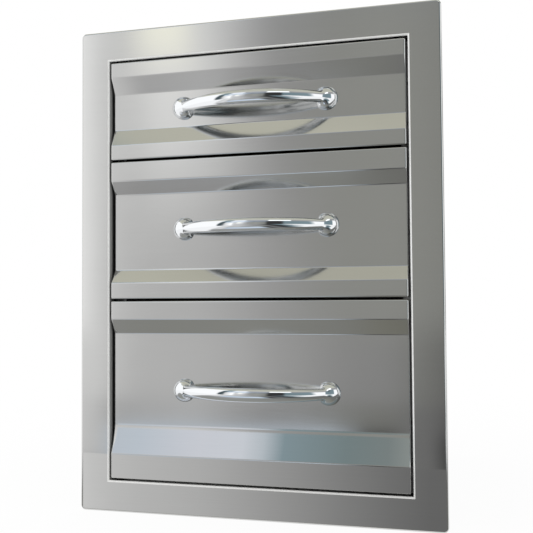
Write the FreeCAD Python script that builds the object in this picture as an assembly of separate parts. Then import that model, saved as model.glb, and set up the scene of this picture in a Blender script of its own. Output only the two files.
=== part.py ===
import FreeCAD, Part
import math
import os
from FreeCAD import Vector

# Built-in unit of three drawers, folded from stainless sheet, for the face of an outdoor island.
# The origin is the middle of the flange's lower back lip, which bears on the island's face.
# -Y is the front, +Z is up, and the drawers slide out along -Y.

# Face frame: a shallow flange folded like a picture frame, with jambs running back from its opening
flange_width = 457.0
flange_height = 610.0
flange_border = 39.0
flange_depth = 10.0
flange_corner_radius = 6.0
flange_edge_radius = 2.5
lip_width = 10.0
frame_sheet = 1.2
jamb_reach = 36.0

# Housing behind the flange
housing_sheet = 1.2
housing_front = 17.0
housing_depth = 478.0
housing_fold_radius = 1.0
stop_flange_width = 10.0
stop_notch_half_height = 26.0
lap_flange = 14.0
lap_gap = 1.0
rear_web_inset = 4.0

# Drawer fronts: gap round each, height of the upper two, and thickness of the pan
reveal = 2.6
upper_height = 125.0
middle_height = 174.2
front_sheet = 1.0
front_depth = 24.0
fold_radius = 4.0
rim_radius = 2.0
side_rim_radius = 1.8

# Depth of each front's recessed panel, and the heights of its bands and folds from the top edge down; what is
# left is the lower band. The lowest fold of all is a shallow cove, hollow by a little against a straight slope
upper_folds = {"depth": 9.5, "band": 19.0, "fold": 20.5, "panel": 46.0, "lower_fold": 21.0, "hollow": 0.0}
middle_folds = {"depth": 11.0, "band": 24.5, "fold": 17.0, "panel": 96.0, "lower_fold": 16.5, "hollow": 0.0}
lower_folds = {"depth": 10.0, "band": 23.0, "fold": 18.0, "panel": 116.0, "lower_fold": 34.0, "hollow": 2.0}
cove_share = 0.9

# Liner that closes the back of each front
liner_sheet = 1.0
liner_fit = 0.1
liner_flange = 8.0
liner_corner_radius = 1.2

# Trays
tray_sheet = 1.0
tray_depth = 430.0
tray_lift = 14.0
tray_drop = 20.0
tray_corner_radius = 3.0
tray_hem_width = 8.0
tray_hem_drop = 5.0
hem_foot = 2.0
hem_setback = 6.0

# Bow handles: the bow's middle line stands off the panel by handle_stand, and by handle_root at its feet
handle_span = 186.5
handle_stand = 38.0
handle_root = 5.0
bow_end_height = 12.5
bow_mid_height = 16.5
bow_end_depth = 9.0
bow_mid_depth = 11.0
bow_overrun = 6.0
bow_stations = 13
foot_radius = 14.5
foot_width = 24.0
foot_stand = 12.0
handle_screw_reach = 8.0

# Telescopic ball-bearing slides, one pair to a drawer
slide_length = 400.0
slide_start = 20.0
slide_thickness = 12.7
slide_rise = 40.0
member_sheet = 1.0
outer_fold_radius = 0.8
member_fold_radius = 0.4

# Slide sections: half height of each member, and distances across from the side panel's inside
outer_half_height = 22.5
outer_edge_across = 9.6
outer_edge_turn = 2.2
middle_half_height = 17.5
middle_web_across = 2.4
middle_edge_across = 9.4
middle_edge_out = 1.0
middle_edge_rise = 0.8
inner_half_height = 12.5
inner_edge_across = 5.6
inner_edge_out = 0.8
inner_edge_rise = 0.6

# Balls and the folded cages that hold them
ball_radius = 1.9
ball_pitch = 25.0
balls_per_row = 8
outer_row_across = 6.2
inner_row_across = 7.4
cage_sheet = 0.5
cage_length = 200.0
cage_start = 120.0
cage_overhang = 2.6
outer_cage_web = 1.7
inner_cage_web = 3.9

# Screws
screw_radius = 2.5
small_screw_radius = 2.0
clearance = 0.1
pan_head_radius = 4.5
pan_head_height = 2.6
low_head_radius = 4.0
low_head_height = 1.2
tray_head_height = 2.0
tray_screw_length = 3.0
slide_screw_y = [50.0, 210.0, 370.0]
tray_screw_y = [40.0, 225.0, 405.0]

# Head of a screw, as shares of its radius and height
head_rounding = 0.55
slot_reach = 0.5
slot_half_width = 0.16
slot_sink = 0.45

# Blind rivets
rivet_radius = 1.6
rivet_head_radius = 3.2
rivet_head_height = 0.9
rivet_head_rounding = 0.54
rivet_tail_radius = 2.16
frame_rivet_y = 29.5
frame_rivet_x = 132.0
frame_rivet_inset = 20.0
side_rivet_y = [90.0, 240.0, 390.0]
rear_rivet_inset = 60.0

# Rubber bumpers
bumper_radius = 2.4
bumper_height = 2.8
bumper_rounding = 0.8
bumper_stem_radius = 1.2
bumper_inset = 14.0

# Screw holes in the housing's sides, for fixing the unit into the island
fixing_hole_radius = 2.6
fixing_y = [70.0, 400.0]
fixing_z = [200.0, 404.0]

# How far a hole's cutter runs past a sheet, and the least length that counts as one
past = 2.0
tiny = 1e-3

# Places worked out from the sizes above
flange_front = -flange_depth
flange_bottom = -lip_width / 2
flange_top = flange_bottom + flange_height
half_flange = flange_width / 2
half_opening = half_flange - flange_border
opening_bottom = flange_bottom + flange_border
opening_top = flange_top - flange_border
half_front = half_opening - reveal
front_back = flange_front + front_depth
housing_inside = half_opening - housing_sheet
half_tray = housing_inside - slide_thickness
tray_back = front_back + tray_depth
outer_row_rise = (outer_half_height + middle_half_height - member_sheet) / 2
inner_row_rise = (middle_half_height + inner_half_height - member_sheet) / 2
handle_ends = (-handle_span / 2, handle_span / 2)
bow_rise = handle_stand - handle_root
bow_radius = ((handle_span / 2) ** 2 + bow_rise ** 2) / (2 * bow_rise)
bow_end_angle = math.asin((handle_span / 2 + bow_overrun) / bow_radius)


def box(x0, x1, y0, y1, z0, z1):
    return Part.makeBox(x1 - x0, y1 - y0, z1 - z0, Vector(x0, y0, z0))


def cylinder(radius, start, end):
    axis = end.sub(start)
    return Part.makeCylinder(radius, axis.Length, start, axis)


def mirrored(shape):
    return shape.mirror(Vector(0, 0, 0), Vector(1, 0, 0))


def group(shapes):
    return Part.makeCompound(shapes)


def edges_where(shape, test):
    return [edge for edge in shape.Edges if test(edge)]


def runs_along(edge, axis):
    # True where a straight edge runs along X (0), Y (1) or Z (2)
    span = [edge.BoundBox.XLength, edge.BoundBox.YLength, edge.BoundBox.ZLength]
    others = [span[i] for i in range(3) if i != axis]
    return span[axis] > tiny and max(others) < tiny


def is_circle(edge):
    return len(edge.Vertexes) == 1


def rounded_outline(corners, radii, place):
    # Closed wire through 2D corners, each rounded by its radius; place turns a 2D point into a 3D one
    stops = []
    count = len(corners)
    for i in range(count):
        here = Vector(corners[i][0], corners[i][1], 0)
        before = Vector(corners[i - 1][0], corners[i - 1][1], 0)
        after = Vector(corners[(i + 1) % count][0], corners[(i + 1) % count][1], 0)
        way_in = here.sub(before).normalize()
        way_out = after.sub(here).normalize()
        turn = way_in.getAngle(way_out)
        if radii[i] <= 0 or turn < tiny:
            stops.append((here, None, here))
            continue
        reach = radii[i] * math.tan(turn / 2)
        inward = way_out.sub(way_in).normalize()
        centre = here + inward * (radii[i] / math.cos(turn / 2))
        stops.append((here - way_in * reach, centre - inward * radii[i], here + way_out * reach))
    edges = []
    for i in range(count):
        leave = stops[i - 1][2]
        enter, middle, end = stops[i]
        if leave.distanceToPoint(enter) > tiny:
            edges.append(Part.LineSegment(place(leave.x, leave.y), place(enter.x, enter.y)).toShape())
        if middle is not None:
            arc = Part.Arc(place(enter.x, enter.y), place(middle.x, middle.y), place(end.x, end.y))
            edges.append(arc.toShape())
    return Part.Wire(edges)


def offset_corners(corners, distance):
    # Moves every point of an open 2D path sideways, to the left of its direction, with mitred corners
    moved = []
    for i in range(len(corners)):
        here = Vector(corners[i][0], corners[i][1], 0)
        ways = []
        if i > 0:
            ways.append(here.sub(Vector(corners[i - 1][0], corners[i - 1][1], 0)).normalize())
        if i < len(corners) - 1:
            ways.append(Vector(corners[i + 1][0], corners[i + 1][1], 0).sub(here).normalize())
        normals = [Vector(-way.y, way.x, 0) for way in ways]
        sideways = normals[0].add(normals[-1]).normalize()
        stretch = sideways.dot(normals[0])
        point = here + sideways * (distance / stretch)
        moved.append((point.x, point.y))
    return moved


def bent_strip(path, sheet, inside_radius, place, length_vector):
    # A folded sheet: the 2D path is its middle line, and each fold has the given inside radius
    left = offset_corners(path, sheet / 2)
    right = offset_corners(path, -sheet / 2)
    left_radii = [0.0]
    right_radii = [0.0]
    for i in range(1, len(path) - 1):
        in_x, in_y = path[i][0] - path[i - 1][0], path[i][1] - path[i - 1][1]
        out_x, out_y = path[i + 1][0] - path[i][0], path[i + 1][1] - path[i][1]
        turns_left = in_x * out_y - in_y * out_x > 0
        left_radii.append(inside_radius if turns_left else inside_radius + sheet)
        right_radii.append(inside_radius + sheet if turns_left else inside_radius)
    left_radii.append(0.0)
    right_radii.append(0.0)
    outline = rounded_outline(left + right[::-1], left_radii + right_radii[::-1], place)
    return Part.Face(outline).extrude(length_vector)


def drawers():
    # Each drawer's name, the bottom and top of its front, and its folds
    upper_bottom = opening_top - reveal - upper_height
    middle_top = upper_bottom - reveal
    middle_bottom = middle_top - middle_height
    return [
        {"name": "upper", "bottom": upper_bottom, "top": opening_top - reveal, "folds": upper_folds},
        {"name": "middle", "bottom": middle_bottom, "top": middle_top, "folds": middle_folds},
        {"name": "lower", "bottom": opening_bottom + reveal, "top": middle_bottom - reveal,
         "folds": lower_folds},
    ]


def panel_plane(drawer):
    # Level of the recessed panel that the handle stands on
    return flange_front + drawer["folds"]["depth"]


def slide_level(drawer):
    return drawer["bottom"] + tray_lift + slide_rise


def handle_level(drawer):
    return (drawer["bottom"] + drawer["top"]) / 2


def make_face_frame():
    flange = box(-half_flange, half_flange, flange_front, 0, flange_bottom, flange_top)
    flange = flange.makeFillet(flange_corner_radius, edges_where(flange, lambda e: runs_along(e, 1)))
    front_edges = edges_where(flange, lambda e: e.BoundBox.YMax < flange_front + tiny)
    flange = flange.makeFillet(flange_edge_radius, front_edges)
    inner = frame_sheet
    hollow = box(inner - half_flange, half_flange - inner, flange_front + inner, -inner,
                 flange_bottom + inner, flange_top - inner)
    hollow = hollow.makeFillet(flange_corner_radius - inner, edges_where(hollow, lambda e: runs_along(e, 1)))
    lip_hole = box(lip_width - half_flange, half_flange - lip_width, -2 * inner, past,
                   flange_bottom + lip_width, flange_top - lip_width)
    skin = flange.cut(hollow).cut(lip_hole)
    outside = half_opening + frame_sheet
    jamb = box(-outside, outside, flange_front + frame_sheet / 2, jamb_reach,
               opening_bottom - frame_sheet, opening_top + frame_sheet)
    opening = box(-half_opening, half_opening, flange_front - past, jamb_reach + past,
                  opening_bottom, opening_top)
    frame = skin.fuse(jamb).cut(opening).removeSplitter()

    def at_mouth(edge):
        bounds = edge.BoundBox
        inside = max(abs(bounds.XMin), abs(bounds.XMax)) < half_opening + tiny
        return bounds.YMax < flange_front + tiny and inside

    frame = frame.makeFillet(flange_edge_radius, edges_where(frame, at_mouth))
    for spot in frame_rivet_spots():
        frame = frame.cut(rivet_hole(*spot))
    return frame


def frame_rivet_spots():
    # Rivets through the jambs and the housing panels behind them: place, and the way that the head faces
    spots = []
    levels = [opening_bottom + frame_rivet_inset, *fixing_z, opening_top - frame_rivet_inset]
    for z in levels:
        for side in (-1, 1):
            spots.append((Vector(side * half_opening, frame_rivet_y, z), Vector(side, 0, 0)))
    for x in (-frame_rivet_x, 0, frame_rivet_x):
        spots.append((Vector(x, frame_rivet_y, opening_bottom), Vector(0, 0, -1)))
        spots.append((Vector(x, frame_rivet_y, opening_top), Vector(0, 0, 1)))
    return spots


def panel_rivet_spots():
    # Rivets that hold the side panels to the flanges of the top, bottom and rear panels
    spots = []
    rise = lap_flange / 2 + lap_gap
    levels = [opening_bottom + rear_rivet_inset, *fixing_z, opening_top - rear_rivet_inset]
    for side in (-1, 1):
        x = side * half_opening
        out = Vector(side, 0, 0)
        for y in side_rivet_y:
            spots.append((Vector(x, y, opening_bottom + rise), out))
            spots.append((Vector(x, y, opening_top - rise), out))
        for z in levels:
            spots.append((Vector(x, housing_depth - lap_flange / 2, z), out))
    return spots


def rivet_hole(place, out):
    reach = out * (2 * past)
    return cylinder(rivet_radius, place - reach, place + reach)


def rivet(place, out, outer_layer):
    # Blind rivet: a domed head outside and a pressed tail inside
    outside = place + out * outer_layer
    inside = place - out * (2 * housing_sheet)
    stem = cylinder(rivet_radius, inside, outside)
    head = cylinder(rivet_head_radius, outside, outside + out * rivet_head_height)
    rim = edges_where(head, lambda e: e.CenterOfMass.sub(outside).dot(out) > rivet_head_height - tiny)
    head = head.makeFillet(rivet_head_rounding, [e for e in rim if is_circle(e)])
    tail = cylinder(rivet_tail_radius, inside - out * rivet_head_height, inside)
    return stem.fuse(head).fuse(tail).removeSplitter()


def make_side_panel():
    # Left side; the slides and the stops of the drawers are on it
    panel = box(-half_opening, -housing_inside, housing_front, housing_depth, opening_bottom, opening_top)
    stop_end = lap_flange + lap_gap
    stop = box(-half_opening, stop_flange_width - housing_inside, housing_front,
               housing_front + housing_sheet, opening_bottom + stop_end, opening_top - stop_end)
    for drawer in drawers():
        level = slide_level(drawer)
        stop = stop.cut(box(-housing_inside, 0, 0, housing_front + housing_sheet + past,
                            level - stop_notch_half_height, level + stop_notch_half_height))
    panel = panel.fuse(stop).removeSplitter()
    for y in fixing_y:
        for z in fixing_z:
            panel = panel.cut(side_hole(fixing_hole_radius, -half_opening, y, z))
    for place, out in frame_rivet_spots() + panel_rivet_spots():
        if out.x < 0:
            panel = panel.cut(rivet_hole(place, out))
    for drawer in drawers():
        level = slide_level(drawer)
        for y in slide_screw_y:
            panel = panel.cut(side_hole(small_screw_radius + clearance, -half_opening, y, level))
    return panel


def side_hole(radius, x, y, z):
    # Cutter along X through a sheet at x
    return cylinder(radius, Vector(x - past, y, z), Vector(x + past, y, z))


def make_bottom_panel():
    # Floor of the housing, with its two sides folded up inside the side panels
    sheet = housing_sheet
    middle = housing_inside - sheet / 2
    path = [(-middle, lap_flange), (-middle, sheet / 2), (middle, sheet / 2), (middle, lap_flange)]
    length = Vector(0, housing_depth - housing_front, 0)
    panel = bent_strip(path, sheet, housing_fold_radius,
                       lambda u, v: Vector(u, housing_front, opening_bottom + v), length)
    for spot in frame_rivet_spots() + panel_rivet_spots():
        panel = panel.cut(rivet_hole(*spot))
    return panel


def make_top_panel():
    return make_bottom_panel().mirror(Vector(0, 0, (opening_bottom + opening_top) / 2), Vector(0, 0, 1))


def make_rear_panel():
    # Back of the housing, with its two sides folded forwards inside the side panels
    sheet = housing_sheet
    middle = housing_inside - sheet / 2
    back = housing_depth - sheet / 2
    front = housing_depth - lap_flange
    path = [(-middle, front), (-middle, back), (middle, back), (middle, front)]
    low = opening_bottom + lap_flange + lap_gap
    high = opening_top - lap_flange - lap_gap
    panel = bent_strip(path, sheet, housing_fold_radius, lambda u, v: Vector(u, v, low),
                       Vector(0, 0, high - low))
    web = middle - rear_web_inset
    web_low = box(-web, web, housing_depth - sheet, housing_depth, opening_bottom + sheet, low)
    web_high = box(-web, web, housing_depth - sheet, housing_depth, high, opening_top - sheet)
    panel = panel.fuse(web_low).fuse(web_high).removeSplitter()
    for spot in panel_rivet_spots():
        panel = panel.cut(rivet_hole(*spot))
    return panel


def make_housing_rivets():
    rivets = [rivet(place, out, frame_sheet) for place, out in frame_rivet_spots()]
    rivets += [rivet(place, out, 0) for place, out in panel_rivet_spots()]
    return group(rivets)


def front_corners(drawer):
    # Side view of a front, as (y, z) from the back of its top return round to the back of its bottom one,
    # and the radius at each corner
    folds = drawer["folds"]
    band_end = drawer["top"] - folds["band"]
    panel_top = band_end - folds["fold"]
    panel_end = (panel_plane(drawer), panel_top - folds["panel"])
    fold_end = (flange_front, panel_end[1] - folds["lower_fold"])
    corners = [
        (front_back, drawer["top"]),
        (flange_front, drawer["top"]),
        (flange_front, band_end),
        (panel_plane(drawer), panel_top),
        panel_end,
    ]
    radii = [0, rim_radius, fold_radius, fold_radius, fold_radius]
    if folds["hollow"]:
        corner, radius = cove(panel_end, fold_end, folds["hollow"])
        corners.append(corner)
        radii.append(radius)
    corners += [fold_end, (flange_front, drawer["bottom"]), (front_back, drawer["bottom"])]
    radii += [fold_radius, rim_radius, 0]
    return corners, radii


def cove(start, end, hollow):
    # Corner and radius that turn the slope from start to end into an arc over most of its length
    half = math.dist(start, end) / 2
    way_y = (end[0] - start[0]) / 2 / half
    way_z = (end[1] - start[1]) / 2 / half
    corner = ((start[0] + end[0]) / 2 - way_z * hollow, (start[1] + end[1]) / 2 + way_y * hollow)
    return corner, cove_share * half * half / hollow


def make_front_panel(drawer):
    # Pressed pan: flat bands top and bottom, and folds down to a recessed panel; the back is open
    corners, radii = front_corners(drawer)
    outline = rounded_outline(corners, radii, lambda y, z: Vector(-half_front, y, z))
    block = Part.Face(outline).extrude(Vector(2 * half_front, 0, 0))

    def at_side(edge):
        bounds = edge.BoundBox
        flat = bounds.XLength < tiny and abs(abs(bounds.XMin) - half_front) < tiny
        return flat and bounds.YMin < front_back - tiny

    block = block.makeFillet(side_rim_radius, edges_where(block, at_side))
    inner = offset_corners(corners, front_sheet)
    inner[0] = (front_back + past, inner[0][1])
    inner[-1] = (front_back + past, inner[-1][1])
    inner_radii = [0]
    for i in range(1, len(corners) - 1):
        convex = corners[i][0] == flange_front
        inner_radii.append(max(radii[i] - front_sheet, 0) if convex else radii[i] + front_sheet)
    inner_radii.append(0)
    hollow_half = half_front - front_sheet
    outline = rounded_outline(inner, inner_radii, lambda y, z: Vector(-hollow_half, y, z))
    pan = block.cut(Part.Face(outline).extrude(Vector(2 * hollow_half, 0, 0)))
    for x in handle_ends:
        pan = pan.cut(front_hole(screw_radius + clearance, x, panel_plane(drawer), handle_level(drawer)))
    return pan


def front_hole(radius, x, y, z):
    # Cutter along Y through a sheet at y
    return cylinder(radius, Vector(x, y - past, z), Vector(x, y + past, z))


def make_front_liner(drawer):
    # Closes the back of the pan; its edges are folded forwards inside the pan's returns
    half = half_front - front_sheet - liner_fit
    low = drawer["bottom"] + front_sheet + liner_fit
    high = drawer["top"] - front_sheet - liner_fit
    front = front_back - liner_flange
    outer = box(-half, half, front, front_back, low, high)
    outer = outer.makeFillet(liner_corner_radius, edges_where(outer, lambda e: runs_along(e, 1)))
    liner = outer.cut(box(liner_sheet - half, half - liner_sheet, front - past, front_back - liner_sheet,
                          low + liner_sheet, high - liner_sheet))
    for x in handle_ends:
        liner = liner.cut(front_hole(screw_radius + clearance, x, front_back, handle_level(drawer)))
    for x, z in bumper_spots(drawer):
        liner = liner.cut(front_hole(bumper_stem_radius, x, front_back, z))
    return liner


def bumper_spots(drawer):
    x = housing_inside - stop_flange_width / 2
    levels = (drawer["bottom"] + bumper_inset, drawer["top"] - bumper_inset)
    return [(side * x, z) for side in (-1, 1) for z in levels]


def make_bumpers(drawer):
    # Rubber buttons pushed into the liner, which meet the side panels' stop flanges
    bumpers = []
    for x, z in bumper_spots(drawer):
        disc = cylinder(bumper_radius, Vector(x, front_back, z), Vector(x, front_back + bumper_height, z))
        rim = edges_where(disc, lambda e: e.BoundBox.YMin > front_back + bumper_height - tiny)
        disc = disc.makeFillet(bumper_rounding, [e for e in rim if is_circle(e)])
        stem_start = Vector(x, front_back - liner_sheet - bumper_rounding, z)
        stem = cylinder(bumper_stem_radius, stem_start, Vector(x, front_back, z))
        bumpers.append(disc.fuse(stem).removeSplitter())
    return group(bumpers)


def make_tray(drawer):
    # Open box with a hem turned in and down along its sides and back
    low = drawer["bottom"] + tray_lift
    high = drawer["top"] - tray_drop
    outer = box(-half_tray, half_tray, front_back, tray_back, low, high)
    corners = edges_where(outer, lambda e: runs_along(e, 2))
    floor = edges_where(outer, lambda e: e.BoundBox.ZMax < low + tiny)
    outer = outer.makeFillet(tray_corner_radius, corners + floor)
    inner_low = low + tray_sheet
    inner = box(tray_sheet - half_tray, half_tray - tray_sheet, front_back + tray_sheet,
                tray_back - tray_sheet, inner_low, high + past)
    corners = edges_where(inner, lambda e: runs_along(e, 2))
    floor = edges_where(inner, lambda e: e.BoundBox.ZMax < inner_low + tiny)
    inner = inner.makeFillet(tray_corner_radius - tray_sheet, corners + floor)
    tray = outer.cut(inner).fuse(tray_hems(high)).removeSplitter()
    for x in handle_ends:
        tray = tray.cut(front_hole(screw_radius + clearance, x, front_back, handle_level(drawer)))
    for y in tray_screw_y:
        for x in (-half_tray, half_tray):
            tray = tray.cut(side_hole(small_screw_radius + clearance, x, y, slide_level(drawer)))
    return group(tray_sheets(tray, low, high))


def tray_sheets(tray, low, high):
    # The sheets that the tray is welded from: a floor pan, two side walls, and a front and a back wall
    pan_top = low + tray_corner_radius
    side = half_tray - tray_hem_width - tray_sheet
    middle_y = (front_back + tray_back) / 2
    floor = box(-half_tray, half_tray, front_back, tray_back, low, pan_top)
    left = box(-half_tray, -side, front_back, tray_back, pan_top, high)
    front = box(-side, side, front_back, middle_y, pan_top, high)
    back = box(-side, side, middle_y, tray_back, pan_top, high)
    return [tray.common(region) for region in (floor, left, mirrored(left), front, back)]


def tray_hems(high):
    # Hems of the left, right and back walls, each folded inwards and down
    wall = half_tray - tray_sheet / 2
    hem = half_tray - tray_hem_width
    crest = high - tray_sheet / 2
    drop = high - tray_hem_drop
    path = [(-wall, high - hem_foot), (-wall, crest), (-hem, crest), (-hem, drop)]
    start = front_back + hem_setback
    length = tray_depth - 2 * hem_setback
    left = bent_strip(path, tray_sheet, member_fold_radius, lambda u, v: Vector(u, start, v),
                      Vector(0, length, 0))
    back = tray_back - tray_sheet / 2
    back_hem = tray_back - tray_hem_width
    half = hem - hem_foot
    path = [(back, high - hem_foot), (back, crest), (back_hem, crest), (back_hem, drop)]
    rear = bent_strip(path, tray_sheet, member_fold_radius, lambda u, v: Vector(-half, u, v),
                      Vector(2 * half, 0, 0))
    return [left, mirrored(left), rear]


def pan_screw(start, way, length, radius, head_radius, head_height):
    # Machine screw: the shank runs from start along way, and the cross-slotted head is behind start
    shank = cylinder(radius, start, start + way * length)
    head_end = start - way * head_height
    head = cylinder(head_radius, head_end, start)
    rim = edges_where(head, lambda e: e.CenterOfMass.sub(head_end).dot(way) < tiny and is_circle(e))
    head = head.makeFillet(head_height * head_rounding, rim)
    half = head_radius * slot_reach
    width = head_radius * slot_half_width
    depth = head_height * slot_sink
    cross = box(-half, half, -width, width, 0, depth).fuse(box(-width, width, -half, half, 0, depth))
    cross.Placement = FreeCAD.Placement(head_end, FreeCAD.Rotation(Vector(0, 0, 1), way))
    return shank.fuse(head).removeSplitter().cut(cross)


def make_handle_screws(drawer):
    # Two machine screws from inside the tray into the handle's feet
    start_y = front_back + tray_sheet
    length = start_y - (panel_plane(drawer) - handle_screw_reach)
    screws = []
    for x in handle_ends:
        start = Vector(x, start_y, handle_level(drawer))
        screws.append(pan_screw(start, Vector(0, -1, 0), length, screw_radius,
                                pan_head_radius, pan_head_height))
    return group(screws)


def make_foot(x, y, z):
    # Foot of a handle on the panel: a round dome, cut off square on its inner side
    out = -1 if x < 0 else 1
    inner = x - out * foot_width / 2
    middle = Vector(inner + out * (foot_width - foot_radius), y, z)
    rim = middle + Vector(foot_radius, 0, 0)
    top = middle - Vector(0, foot_stand, 0)
    arc = Part.ArcOfEllipse(Part.Ellipse(rim, top, middle), 0, math.pi / 2).toShape()
    profile = Part.Wire([Part.makeLine(middle, rim), arc, Part.makeLine(top, middle)])
    dome = Part.Face(profile).revolve(middle, Vector(0, 1, 0), 360)
    inward = box(min(0, inner), max(0, inner), top.y - past, y + past,
                 z - foot_radius - past, z + foot_radius + past)
    return dome.cut(inward)


def bow_section(angle, y, z):
    # Ellipse across the bow at an angle from the middle of its arc
    share = math.cos(angle / bow_end_angle * math.pi / 2)
    half_height = (bow_end_height + (bow_mid_height - bow_end_height) * share) / 2
    half_depth = (bow_end_depth + (bow_mid_depth - bow_end_depth) * share) / 2
    centre_y = y - handle_stand + bow_radius
    point = Vector(bow_radius * math.sin(angle), centre_y - bow_radius * math.cos(angle), z)
    along = Vector(math.cos(angle), math.sin(angle), 0)
    up = Vector(0, 0, 1)
    ellipse = Part.Ellipse(Vector(0, 0, 0), half_height, half_depth).toShape()
    ellipse.Placement = FreeCAD.Placement(point, FreeCAD.Rotation(up, along.cross(up), along))
    return Part.Wire([ellipse])


def make_handle(drawer):
    # One casting: a bow that thickens to its middle and runs down into two feet on the recessed panel
    y = panel_plane(drawer)
    z = handle_level(drawer)
    steps = bow_stations - 1
    sections = [bow_section(bow_end_angle * (2 * i / steps - 1), y, z) for i in range(bow_stations)]
    bow = Part.makeLoft(sections, True, False)
    behind = box(-handle_span, handle_span, y, y + bow_mid_height, z - bow_mid_height, z + bow_mid_height)
    handle = bow.cut(behind)
    for x in handle_ends:
        handle = handle.fuse(make_foot(x, y, z))
    for x in handle_ends:
        start = Vector(x, y + past, z)
        end = Vector(x, y - handle_screw_reach - clearance, z)
        handle = handle.cut(cylinder(screw_radius + clearance, start, end))
    return handle.removeSplitter()


def left_slide_strip(path, sheet, fold, start, length, level):
    # Strip of a left slide: its path is across from the side panel, and up from the slide's middle
    return bent_strip(path, sheet, fold,
                      lambda across, up: Vector(across - housing_inside, start, level + up),
                      Vector(0, length, 0))


def slide_member(path, fold, level):
    return left_slide_strip(path, member_sheet, fold, slide_start, slide_length, level)


def make_slide_outer(drawer):
    # Channel on the side panel; its edges curl in to keep the balls
    level = slide_level(drawer)
    up = outer_half_height - member_sheet / 2
    web = member_sheet / 2
    edge = outer_edge_across
    turn = up - outer_edge_turn
    path = [(edge, turn), (edge, up), (web, up), (web, -up), (edge, -up), (edge, -turn)]
    member = slide_member(path, outer_fold_radius, level)
    for y in slide_screw_y:
        member = member.cut(side_hole(small_screw_radius, -housing_inside, y, level))
    return member


def make_slide_middle(drawer):
    up = middle_half_height - member_sheet / 2
    web = middle_web_across + member_sheet / 2
    edge = middle_edge_across
    tip = edge + middle_edge_out
    rise = up + middle_edge_rise
    path = [(tip, rise), (edge, up), (web, up), (web, -up), (edge, -up), (tip, -rise)]
    return slide_member(path, member_fold_radius, slide_level(drawer))


def make_slide_inner(drawer):
    # Channel on the tray, open towards the side panel
    level = slide_level(drawer)
    up = inner_half_height - member_sheet / 2
    web = slide_thickness - member_sheet / 2
    edge = inner_edge_across
    tip = edge - inner_edge_out
    rise = up + inner_edge_rise
    path = [(tip, rise), (edge, up), (web, up), (web, -up), (edge, -up), (tip, -rise)]
    member = slide_member(path, member_fold_radius, level)
    hole_radius = small_screw_radius + clearance / 2
    for y in tray_screw_y:
        member = member.cut(side_hole(hole_radius, -half_tray - member_sheet, y, level))
    return member


def ball_places(across, rise, level):
    # Centres of a left slide's balls, in a row above and a row below its middle
    first = cage_start + (cage_length - ball_pitch * (balls_per_row - 1)) / 2
    x = across - housing_inside
    rows = (level - rise, level + rise)
    return [Vector(x, first + ball_pitch * i, z) for z in rows for i in range(balls_per_row)]


def make_balls(drawer, across, rise):
    balls = []
    for place in ball_places(across, rise, slide_level(drawer)):
        ball = Part.makeSphere(ball_radius, place)
        balls += [ball, mirrored(ball)]
    return group(balls)


def make_cages(drawer, across, rise, web):
    # Folded strip with a row of holes at top and bottom, one for each ball
    level = slide_level(drawer)
    end = across + cage_overhang
    path = [(end, rise), (web, rise), (web, -rise), (end, -rise)]
    cage = left_slide_strip(path, cage_sheet, member_fold_radius, cage_start, cage_length, level)
    reach = Vector(0, 0, past)
    for place in ball_places(across, rise, level):
        cage = cage.cut(cylinder(ball_radius + clearance, place - reach, place + reach))
    return group([cage, mirrored(cage)])


def make_slide_screws():
    # Screws from outside the side panels into the slides' outer members
    screws = []
    length = housing_sheet + member_sheet
    for drawer in drawers():
        for y in slide_screw_y:
            start = Vector(-half_opening, y, slide_level(drawer))
            screw = pan_screw(start, Vector(1, 0, 0), length, small_screw_radius - clearance,
                              low_head_radius, low_head_height)
            screws += [screw, mirrored(screw)]
    return group(screws)


def make_tray_screws(drawer):
    # Screws from inside the tray into the slides' inner members
    screws = []
    for y in tray_screw_y:
        start = Vector(tray_sheet - half_tray, y, slide_level(drawer))
        screw = pan_screw(start, Vector(-1, 0, 0), tray_screw_length, small_screw_radius - clearance,
                          low_head_radius, tray_head_height)
        screws += [screw, mirrored(screw)]
    return group(screws)


def drawer_nodes(drawer):
    outer = make_slide_outer(drawer)
    middle = make_slide_middle(drawer)
    inner = make_slide_inner(drawer)
    pieces = {
        "front_panel": make_front_panel(drawer),
        "front_liner": make_front_liner(drawer),
        "tray": make_tray(drawer),
        "handle": make_handle(drawer),
        "handle_screws": make_handle_screws(drawer),
        "bumpers": make_bumpers(drawer),
        "tray_screws": make_tray_screws(drawer),
        "slide_outer_left": outer,
        "slide_outer_right": mirrored(outer),
        "slide_middle_left": middle,
        "slide_middle_right": mirrored(middle),
        "slide_inner_left": inner,
        "slide_inner_right": mirrored(inner),
        "outer_cages": make_cages(drawer, outer_row_across, outer_row_rise, outer_cage_web),
        "outer_balls": make_balls(drawer, outer_row_across, outer_row_rise),
        "inner_cages": make_cages(drawer, inner_row_across, inner_row_rise, inner_cage_web),
        "inner_balls": make_balls(drawer, inner_row_across, inner_row_rise),
    }
    return {drawer["name"] + "_" + node: shape for node, shape in pieces.items()}


def all_nodes():
    side = make_side_panel()
    nodes = {
        "face_frame": make_face_frame(),
        "side_panel_left": side,
        "side_panel_right": mirrored(side),
        "top_panel": make_top_panel(),
        "bottom_panel": make_bottom_panel(),
        "rear_panel": make_rear_panel(),
        "housing_rivets": make_housing_rivets(),
        "slide_screws": make_slide_screws(),
    }
    for drawer in drawers():
        nodes.update(drawer_nodes(drawer))
    return nodes


os.makedirs("parts", exist_ok=True)
for node, shape in all_nodes().items():
    shape.exportStep("parts/" + node + ".step")
    print(node, "valid" if shape.isValid() else "NOT VALID", len(shape.Solids), round(shape.Volume))
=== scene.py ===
import math
import bmesh
import bpy
import numpy as np
from mathutils import Matrix, Vector


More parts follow.
